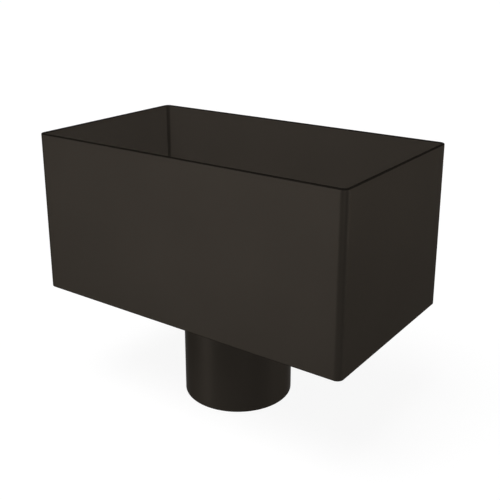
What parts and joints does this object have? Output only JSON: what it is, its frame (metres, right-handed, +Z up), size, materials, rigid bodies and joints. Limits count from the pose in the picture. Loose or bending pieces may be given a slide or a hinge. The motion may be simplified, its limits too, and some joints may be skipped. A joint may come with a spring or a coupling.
{
  "type": "downpipe hopper head",
  "caption": "Open-topped rectangular rainwater hopper of folded, dark bronze coated sheet with a round outlet spigot below, set at the top of a downpipe against a wall.",
  "frame": {"origin": "centre of the outlet spigot's lower end, on the spigot's axis", "axes": "+Z up along the spigot's axis to the open rim, +X along the width, +Y out of the flat back face towards the wall"},
  "size_m": [0.25, 0.14, 0.193],
  "materials": {
    "coated_wall": "satin dark bronze powder coat",
    "coated_base": "satin dark bronze powder coat",
    "coated_spigot": "satin dark bronze powder coat"
  },
  "bodies": {
    "root": {"wall_wrap": "coated_wall", "base_panel": "coated_base", "outlet_spigot": "coated_spigot"}
  },
  "joints": []
}
